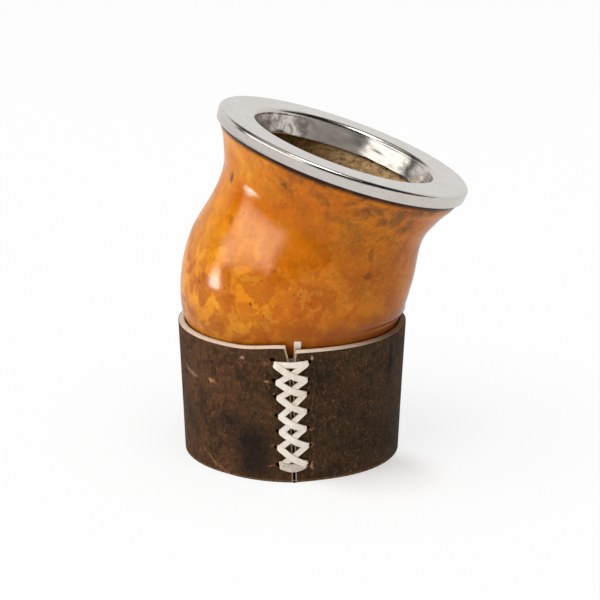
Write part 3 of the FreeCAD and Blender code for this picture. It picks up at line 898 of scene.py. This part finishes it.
def leather_material(look):
    material, p = new_material("dark_waxed_leather")
    at = p.place()
    near = p.wobbled(at, 300.0, 4.0, 0.0040)

    def patch(offset, height, wide, tall, turned=0.0):
        """One on a ragged oval of the leather at an offset and height, nought outside."""
        centre = metres(on_ring(np.array(offset), np.array(height), 0.0).tolist())
        bearing = math.atan2(centre[0], -centre[1])
        c, s = math.cos(turned), math.sin(turned)
        across = (math.cos(bearing) * c / wide, math.sin(bearing) * c / wide, s / wide)
        upward = (-math.cos(bearing) * s / tall, -math.sin(bearing) * s / tall, c / tall)
        inward = (-math.sin(bearing) / 8.0, math.cos(bearing) / 8.0, 0.0)
        away = near - centre
        gap = (away.along(across) ** 2.0 + away.along(upward) ** 2.0 + away.along(inward) ** 2.0) ** 0.5
        return 1.0 - gap.rise(0.1 * MM, 1.5 * MM)

    near_hole, side = p.attribute("near_hole"), p.attribute("side")
    cut, back = p.attribute("cut"), p.attribute("back")
    streak = p.noise(p.shifted(near, scale=(1.0, 1.0, 0.26)), 1100.0, 6.0, 0.80)
    cloud = p.noise(at, 42.0, 4.0, 0.6, 0.5)
    mottle = p.noise(p.shifted(at, (0.5, 0.1, 0.3)), 170.0, 9.0, 0.80, 0.4)
    grain = p.noise(at, 1500.0, 4.0, 0.65)
    left = 1.0 - side.rise(-40.0, 8.0)
    colour = p.mix(left * 0.85, look.hide, look.warm)
    colour = colour.mixed(look.dark, (1.0 - streak.rise(0.38, 0.54)) * 0.62)
    colour = colour.mixed(look.dark, mottle.rise(0.44, 0.60) * 0.65)
    colour = colour.mixed(look.dark, cloud.rise(0.50, 0.66) * 0.60)
    light = streak.rise(0.54, 0.68) * (1.0 - mottle.rise(0.42, 0.58))
    colour = colour.mixed(paint_value(126, 82, 46), light * (0.30 + left * 0.30))
    fleck = p.noise(p.shifted(near, (0.3, 0.3, 0.2), (1.0, 1.0, 0.6)), 1000.0, 5.0, 0.84, 0.6)
    colour = colour.mixed(paint_value(156, 104, 58), fleck.rise(0.56, 0.67) * 0.75)
    hairs = p.lines(p.shifted(near, (0.1, 0.7, 0.4), (1.0, 1.0, 0.35)), 420.0, 0.010)
    colour = colour.mixed(paint_value(132, 94, 60), hairs * mottle.rise(0.40, 0.54) * 0.45)
    for spot, tone, share in LEATHER_MARKS:
        colour = colour.mixed(paint_value(*tone), patch(*spot) * share)
    ragged = p.noise(near, 700.0, 4.0, 0.75)
    torn = (1.0 - near_hole.rise(0.0, 0.9)) * ragged.rise(0.46, 0.60)
    colour = colour.mixed(look.torn, torn * 0.75)
    colour = colour.mixed(paint_value(214, 190, 162), torn * ragged.rise(0.60, 0.68) * 0.7)
    foot = 1.0 - at.part("Z").rise(0.0003, 0.0011)
    colour = colour.mixed(paint_value(142, 108, 74), foot * grain.rise(0.40, 0.56) * 0.7)
    fuzz = p.noise(at, 1300.0, 5.0, 0.75)
    pale = p.mix(side.rise(14.0, 62.0), look.cut, paint_value(142, 108, 78))
    pale = pale.mixed(paint_value(142, 102, 74), fuzz.rise(0.54, 0.64) * 0.60)
    colour = colour.mixed(pale, cut.rise(0.2, 0.55))
    frayed = (1.0 - p.attribute("seam").rise(0.20, 0.55)) * (1.0 - cut) * (0.55 + ragged * 0.6)
    colour = colour.mixed(paint_value(184, 156, 124), frayed)
    colour = colour.mixed(paint_value(110, 82, 58), back.rise(0.75, 0.95) * (1.0 - cut) * 0.8)
    height = streak * 0.8 + grain * 0.35 + mottle * 0.8 + torn * 1.5 + fuzz * cut * 1.6 + hairs * 0.4
    p.surface(base_color=colour, roughness=0.62 + mottle * 0.2,
              specular_ior_level=0.10, normal=p.bump(height, 0.00022, 0.7))
    return material


class MATECUP_OT_leather(bpy.types.Operator):
    """Makes the leather ring with its seam, its notch and its lace holes"""
    bl_idname = "matecup.leather"
    bl_label = "Leather ring"

    def execute(self, context):
        look = context.scene.matecup_leather
        points, faces, marks = leather_mesh(look)
        piece = make_mesh("leather_ring", points, faces, marks)
        dress(piece, leather_material(look), "dark_leather", "leather_band")
        return {"FINISHED"}


# Lace

def smooth_path(stations, count):
    """A smooth line through stations, with evenly spread steps."""
    line = np.asarray(stations, float)
    run = np.concatenate([[0], np.cumsum(np.linalg.norm(np.diff(line, axis=0), axis=1) + 0.05)])
    at = np.linspace(0, run[-1], count)
    return np.stack([curve_through(run, line[:, k], at) for k in range(line.shape[1])], -1)


def thong_section(count=20):
    """A flat strip's section with rounded edges: its width and thickness shares."""
    turn = np.linspace(0, 2 * math.pi, count, endpoint=False) + math.pi / count
    w = np.sign(np.cos(turn)) * np.abs(np.cos(turn)) ** 0.35
    t = np.sign(np.sin(turn)) * np.abs(np.sin(turn)) ** 0.45
    return w / 2, t / 2


def thong_points(stations, width, thick, count, seed, ease):
    """The section carried along a path on the ring: the strip's flat side lies along the
    leather, and its width rounds off where it dives into the holes and wavers between."""
    path = smooth_path(stations, count)
    centre = on_ring(path[:, 0], path[:, 1], path[:, 2])
    out = on_ring(path[:, 0], path[:, 1], path[:, 2] + 1.0) - centre
    along = np.gradient(centre, axis=0)
    along /= np.linalg.norm(along, axis=1)[:, None]
    step = np.gradient(path[:, :2], axis=0)
    chord = (path[-1, :2] - path[0, :2]) / np.linalg.norm(path[-1, :2] - path[0, :2])
    step = step + chord * 0.25 * np.linalg.norm(step, axis=1).max()
    flat = step / np.linalg.norm(step, axis=1)[:, None]
    heading = on_ring(path[:, 0] + flat[:, 0] * 0.1, path[:, 1] + flat[:, 1] * 0.1, path[:, 2]) - centre
    wide = np.cross(out, heading)
    wide /= np.linalg.norm(wide, axis=1)[:, None]
    deep = np.cross(along, wide)
    deep /= np.linalg.norm(deep, axis=1)[:, None]
    share = np.linspace(0, 1, count)
    w, t = thong_section()
    waver = 1 + 0.03 * np.sin(share * 9 + seed) + 0.025 * np.sin(share * 23 + seed * 2.1)
    free = np.clip((np.minimum(share, 1 - share) - 0.12) / ease, 0, 1) if ease else np.ones(count)
    squeeze = 0.58 + 0.42 * np.sqrt(1 - (1 - free) ** 2)
    size = (width * waver * squeeze)[:, None]
    crown = (thick * (1 + 0.25 * (1 - free)))[:, None]
    return (centre[:, None, :] + wide[:, None, :] * (size * w[None, :])[..., None]
            + deep[:, None, :] * (crown * t[None, :])[..., None])


def strap_stations(start, end, layers, thick, hump=0.0, sag=0.0):
    """Stations of a strap: out of one hole, over the leather with a hump where it
    crosses, and down into the other hole; layers lift its two ends off the leather."""
    (x0, z0), (x1, z1) = start, end
    dx, dz = x1 - x0, z1 - z0
    size = math.hypot(dx, dz)
    ux, uz = dx / size, dz / size
    shares = (0, 0.18, 0.34, 0.5, 0.66, 0.82, 1)
    base = [thick / 2 + STRAP_LIFT + layers[0] * (1 - s) + layers[1] * s for s in shares]
    rows = [(x0 - ux * 0.15, z0 - uz * 0.15, -STRAP_DIVE), (x0 - ux * 0.25, z0 - uz * 0.25, -0.9),
            (x0 + ux * 0.1, z0 + uz * 0.1, base[0] - 0.1)]
    for share, lift in zip(shares[1:6], base[1:6]):
        swell = math.sin(math.pi * share)
        rows.append((x0 + dx * share, z0 + dz * share - sag * swell, lift + hump * swell ** 2))
    rows += [(x1 - ux * 0.1, z1 - uz * 0.1, base[6] - 0.1), (x1 + ux * 0.25, z1 + uz * 0.25, -0.9),
             (x1 + ux * 0.15, z1 + uz * 0.15, -STRAP_DIVE)]
    return rows


def lace_runs(look):
    """Every stretch of the thong as stations, width share, which side of it shows (0 is
    the smooth side, 1 the rough side and 2 the bars behind the leather, painted darker as
    shade) and the share of its length over which its ends round off."""
    thick = look.thick / MM
    lefts = [row[:2] for row in LACE_ENDS]
    rights = [row[2:] for row in LACE_ENDS]
    runs = [(strap_stations(lefts[0], rights[0], (0.0, 0.0), thick, sag=0.15), 0.86, 0.0, 0.1),
            (strap_stations(lefts[-1], rights[-1], (0.55, 0.0), thick, sag=1.0), 1.2, 1.0, 0.34)]
    last = len(HOLES) - 2
    for i in range(last + 1):
        under = (0.15, 0.0) if i == last else (0.15, 0.15)
        over = (0.3, 0.5) if i == last else (0.3, 0.3)
        runs.append((strap_stations(rights[i], lefts[i + 1], under, thick, sag=0.1), 0.84, 0.0, 0.1))
        runs.append((strap_stations(lefts[i], rights[i + 1], over, thick, hump=thick * 0.75,
                                    sag=0.65 if i == 0 else 0.4), 0.92, 0.0, 0.1))
    behind = -LEATHER - BAR_GAP - thick / 2
    for left, right in zip(lefts, rights):
        bar = [(left[0] + (right[0] - left[0]) * s, left[1] + (right[1] - left[1]) * s, behind)
               for s in (-0.06, 0.1, 0.3, 0.5, 0.7, 0.9, 1.06)]
        runs.append((bar, 0.95, 2.0, 0.0))
    tail = []
    for i in range(7):
        height = TAIL_FOOT + (TAIL_TOP - TAIL_FOOT) * i / 6.0
        curve = BELLY_RADIUS - BOTTOM_CURVE + math.sqrt(BOTTOM_CURVE ** 2 - (BELLY_HEIGHT - height) ** 2)
        against = curve + 0.1 + thick / 2 - float(ring_radius(TAIL_OFFSET, height))
        tail.append((TAIL_OFFSET, height, max(behind - thick, against)))
    runs.append((tail, 1.0, 0.0, 0.0))
    return runs


def lace_material(look):
    material, p = new_material("pale_thong")
    at = p.place()
    side, tone, edge = p.attribute("rough"), p.attribute("tone"), p.attribute("edge")
    rough = side.rise(0.3, 0.8)
    cloud = p.noise(at, 260.0, 4.0, 0.6)
    fibre = p.noise(at, 2600.0, 4.0, 0.7)
    coarse = p.noise(at, 1100.0, 5.0, 0.7, 0.5)
    share = cloud.rise(0.40, 0.64) * 0.7 + tone * 0.3
    colour = p.mix(share, look.thong, shaded(look.thong, 0.90, 0.84, 0.79))
    flesh = p.mix(coarse.rise(0.4, 0.62), look.rough, shaded(look.rough, 0.68))
    colour = colour.mixed(flesh, rough)
    colour = colour.mixed(paint_value(176, 150, 120), edge.rise(0.80, 1.0) * (0.35 + cloud * 0.5))
    # Painted shade: the bars behind the leather are painted a dark grey-olive, varied by a noise
    back_bar_shade = coarse.rise(0.35, 0.60) * 0.4 + 0.6
    colour = colour.mixed(paint_value(112, 104, 84), side.rise(1.2, 1.8) * back_bar_shade)
    height = fibre * 0.35 + coarse * (0.3 + rough * 1.6)
    p.surface(base_color=colour, roughness=0.78, specular_ior_level=0.3,
              normal=p.bump(height, 0.00016, 0.6))
    return material


class MATECUP_OT_lace(bpy.types.Operator):
    """Makes the thong that laces the leather ring shut, with its tail"""
    bl_idname = "matecup.lace"
    bl_label = "Lace"

    def execute(self, context):
        look = context.scene.matecup_lace
        width, thick = look.width / MM, look.thick / MM
        steps, start = 64, 0
        points, faces, marks = [], [], {"rough": [], "tone": [], "edge": []}
        across = np.abs(thong_section()[0]) * 2
        for seed, (stations, share, side, ease) in enumerate(lace_runs(look)):
            grid = thong_points(stations, width * share, thick, steps, seed * 1.7, ease)
            around = grid.shape[1]
            block = np.vstack([grid.reshape(-1, 3), grid[0].mean(0), grid[-1].mean(0)])
            quads = grid_faces(steps, around, close_columns=True)
            k = np.arange(around)
            first = fan(steps * around, k, True)
            last = fan(steps * around + 1, (steps - 1) * around + k, False)
            points.append(block)
            faces += [quads + start, first + start, last + start]
            marks["rough"].append(np.full(len(block), side))
            marks["tone"].append(np.full(len(block), math.sin(seed * 12.9) ** 2))
            marks["edge"].append(np.concatenate([np.tile(across, steps), [0.0, 0.0]]))
            start += len(block)
        marks = {key: np.concatenate(lists) for key, lists in marks.items()}
        piece = make_mesh("thong", np.vstack(points), faces, marks)
        dress(piece, lace_material(look), "pale_thong", "lace")
        return {"FINISHED"}


# Stage

def facing(place, aim):
    """Right, up and backward directions of a thing at a place that faces a point."""
    away = np.array(place, float) - np.array(aim, float)
    away /= np.linalg.norm(away)
    side = np.cross((0, 0, 1.0), away)
    side /= np.linalg.norm(side)
    return side, np.cross(away, side), away


def pointed(side, up, away, place):
    """The matrix of a thing at a place, from its own right, up and backward directions."""
    return Matrix(np.vstack([np.column_stack([side, up, away, place]), (0, 0, 0, 1)]).tolist())


def area_lamp(name, place, aim, width, height, power, colour):
    """A softbox: a rectangle at a place in metres that faces a point."""
    lamp = bpy.data.lights.new(name, "AREA")
    lamp.shape = "RECTANGLE"
    lamp.size, lamp.size_y = width, height
    lamp.energy = power
    lamp.color = colour
    thing = bpy.data.objects.new(name, lamp)
    thing.matrix_world = pointed(*facing(place, aim), place)
    thing.visible_camera = False
    bpy.context.scene.collection.objects.link(thing)


def by_bearing(bearing, rise, distance, centre):
    """A place by its bearing from the front (left is negative), its rise and distance."""
    a, e = math.radians(bearing), math.radians(rise)
    return (centre[0] + distance * math.cos(e) * math.sin(a),
            centre[1] - distance * math.cos(e) * math.cos(a), centre[2] + distance * math.sin(e))


def glowing_card(name, place, aim, width, height, radiance, mirrored, shell=None):
    """A softbox: a sheet at a place in metres that faces a point and glows, with edges
    that fade, so that its mirror image in the lacquer is soft. Mirrors see it at a share
    of its brightness; with a shell given it is a glare that only that shell mirrors."""
    u, v = np.meshgrid(np.linspace(-0.5, 0.5, 25), np.linspace(-0.5, 0.5, 17), indexing="ij")
    side, up, _ = facing(place, aim)
    points = np.array(place) + u[..., None] * width * side + v[..., None] * height * up
    edge = np.minimum((0.5 - np.abs(u)) * width, (0.5 - np.abs(v)) * height).reshape(-1)
    if width == height:
        edge = (0.5 - np.hypot(u, v)).reshape(-1) * width
    card = make_mesh(name, points.reshape(-1, 3) / MM, [grid_faces(25, 17)], {"from_edge": edge})
    material, p = new_material(name)
    shiny = p.ray("Is Glossy Ray")
    ripple = p.noise(p.place(), 7.0, 4.0, 0.6)
    soft = min(0.25 if shell is None else 0.36, width * 0.45)
    fade = (p.attribute("from_edge") + (ripple - 0.5) * soft * 0.8).rise(-0.01, soft)
    share = fade * (1.0 + shiny * (mirrored - 1.0)) * (0.8 + ripple * 0.4)
    tone = p.mix(ripple.rise(0.3, 0.7), (1.0, 0.985, 0.96), (1.0, 0.965, 0.92)).scaled(share)
    glow = p.node("ShaderNodeEmission", {}, {"Color": tone, "Strength": radiance})
    clear = p.node("ShaderNodeBsdfTransparent")
    p.finish(p.node("ShaderNodeAddShader", {}, (glow, clear)))
    card.data.materials.append(material)
    card.visible_camera = False
    if shell is not None:
        card.visible_diffuse = False
        card.visible_shadow = False
        card.light_linking.receiver_collection = bpy.data.collections.new(name)
        card.light_linking.receiver_collection.objects.link(shell)


def floor_material(look):
    material, p = new_material("pale_floor")
    at = p.place()
    tone = p.noise(at, 3.0, 2.0).rise(0.2, 0.8)
    colour = p.mix(tone, look.floor, shaded(look.floor, 0.985))
    # Painted shadow: the floor inside the ring, and a small spot seen through the seam's slit, are painted
    # dark and get no glow
    shade_behind_slit = 1.0 - (at - (0.0012, -0.0380, 0.0)).length().rise(0.0010, 0.0014)
    shade_under_cup = (1.0 - at.length().rise(0.0362, 0.0374)).highest(shade_behind_slit)
    colour = colour.mixed(paint_value(70, 62, 54), shade_under_cup)
    matt = p.node("ShaderNodeBsdfPrincipled", {}, {"Base Color": colour, "Roughness": 0.9,
                                                   "Specular IOR Level": 0.0})
    seen, shiny = p.ray("Is Camera Ray"), p.ray("Is Glossy Ray")
    tone = p.mix(shiny, (1.0, 1.0, 1.0), (0.80, 0.79, 0.785))
    glow = p.node("ShaderNodeEmission", {}, {"Color": tone, "Strength": 0.99})
    spot = 1.0 - (at - (0.029, -0.031, 0.0)).length().rise(0.010, 0.030)
    wide = 0.80 - spot * 0.55 + at.length().rise(0.045, 0.16) * 0.17
    share = (seen * wide + shiny * 0.90) * (1.0 - shade_under_cup)
    p.finish(p.node("ShaderNodeMixShader", {}, (share, matt, glow)))
    return material


def room_light(look):
    """The room: white behind for the camera. Mirrors see a white backdrop behind, the
    pale floor below the horizon, and a dark room in front, at the sides and overhead."""
    world = bpy.data.worlds.new("studio")
    bpy.context.scene.world = world
    p = Paint(world)
    seen, shiny = p.ray("Is Camera Ray"), p.ray("Is Glossy Ray")
    way = p.node("ShaderNodeTexCoord", output="Generated", kind=Vector)
    behind = way.part("Y").rise(0.24, 0.46)
    ceiling = way.part("Z").rise(0.50, 0.75)
    below = 1.0 - way.part("Z").rise(0.05, 0.10)
    card = way.part("X").rise(0.43, 0.54) * (1.0 - abs(way.part("Z") - 0.02).rise(0.15, 0.23))
    overhead = way.part("Z").rise(0.82, 0.94) * 0.5
    room = (0.03 + behind * 0.80 + card * (1.0 - behind) * 0.80) * (1.0 - ceiling * 0.92) + overhead
    glossy = room * (1.0 - below) + below * 0.80
    level = seen * 1.0 + (1.0 - seen) * (shiny * glossy + (1.0 - shiny) * look.fill)
    back = p.node("ShaderNodeBackground", {}, {"Color": (1.0, 1.0, 1.0, 1.0), "Strength": level})
    p.finish(back, "ShaderNodeOutputWorld")


class MATECUP_OT_stage(bpy.types.Operator):
    """Makes the floor, the lights and the camera"""
    bl_idname = "matecup.stage"
    bl_label = "Stage"

    def execute(self, context):
        look = context.scene.matecup_stage
        corners = [(x * FLOOR_HALF, y * FLOOR_HALF, -FLOOR_DROP)
                   for x, y in ((-1, -1), (1, -1), (1, 1), (-1, 1))]
        floor = make_mesh("floor", corners, [[[0, 1, 2, 3]]])
        floor.data.materials.append(floor_material(look))
        room_light(look)
        shell = bpy.data.objects.get("gourd_shell")
        glowing_card("softbox", by_bearing(-61, 31, 1.02, CUP), CUP, 1.50, 0.92, look.key, 0.85)
        glowing_card("softbox_glare", by_bearing(-59, 32, 1.0, CUP), CUP, 1.46, 0.92, 10.0, 1.0, shell)
        glowing_card("small_glare", by_bearing(-90, -3, 0.9, KNOT), KNOT, 0.42, 0.42, 36.0, 1.0, shell)
        area_lamp("overhead", (0.10, -0.25, 1.1), (0, 0, 0.08), 0.5, 0.35, 4.0, (1.0, 0.98, 0.95))
        camera = bpy.data.cameras.new("camera")
        camera.lens = look.lens
        camera.sensor_width = 36.0
        camera.clip_end = 20.0
        thing = bpy.data.objects.new("camera", camera)
        away = np.cross(CAMERA_RIGHT, CAMERA_UP)
        thing.matrix_world = pointed(CAMERA_RIGHT, CAMERA_UP, away, CAMERA_PLACE)
        context.scene.collection.objects.link(thing)
        context.scene.camera = thing
        context.scene.view_settings.view_transform = "Standard"
        return {"FINISHED"}


class MATECUP_PT_panel(bpy.types.Panel):
    bl_idname = "MATECUP_PT_panel"
    bl_label = "Mate cup"
    bl_space_type = "VIEW_3D"
    bl_region_type = "UI"
    bl_category = "Mate cup"

    def draw(self, context):
        for piece in ("gourd", "rim", "leather", "lace", "stage"):
            box = self.layout.box()
            owner = getattr(context.scene, "matecup_" + piece)
            for key in owner.bl_rna.properties.keys():
                if key not in ("rna_type", "name"):
                    box.prop(owner, key)
            box.operator("matecup." + piece)


GROUPS = {"matecup_gourd": GourdLook, "matecup_rim": RimLook, "matecup_leather": LeatherLook,
          "matecup_lace": LaceLook, "matecup_stage": StageLook}
CLASSES = tuple(GROUPS.values()) + (MATECUP_OT_gourd, MATECUP_OT_rim, MATECUP_OT_leather,
                                    MATECUP_OT_lace, MATECUP_OT_stage, MATECUP_PT_panel)


def register():
    for made in CLASSES:
        bpy.utils.register_class(made)
    for key, group in GROUPS.items():
        setattr(bpy.types.Scene, key, PointerProperty(type=group))


def unregister():
    for key in GROUPS:
        delattr(bpy.types.Scene, key)
    for made in reversed(CLASSES):
        bpy.utils.unregister_class(made)


def main():
    register()
    bpy.ops.matecup.gourd()
    bpy.ops.matecup.rim()
    bpy.ops.matecup.leather()
    bpy.ops.matecup.lace()
    bpy.ops.matecup.stage()


if __name__ == "__main__":
    main()
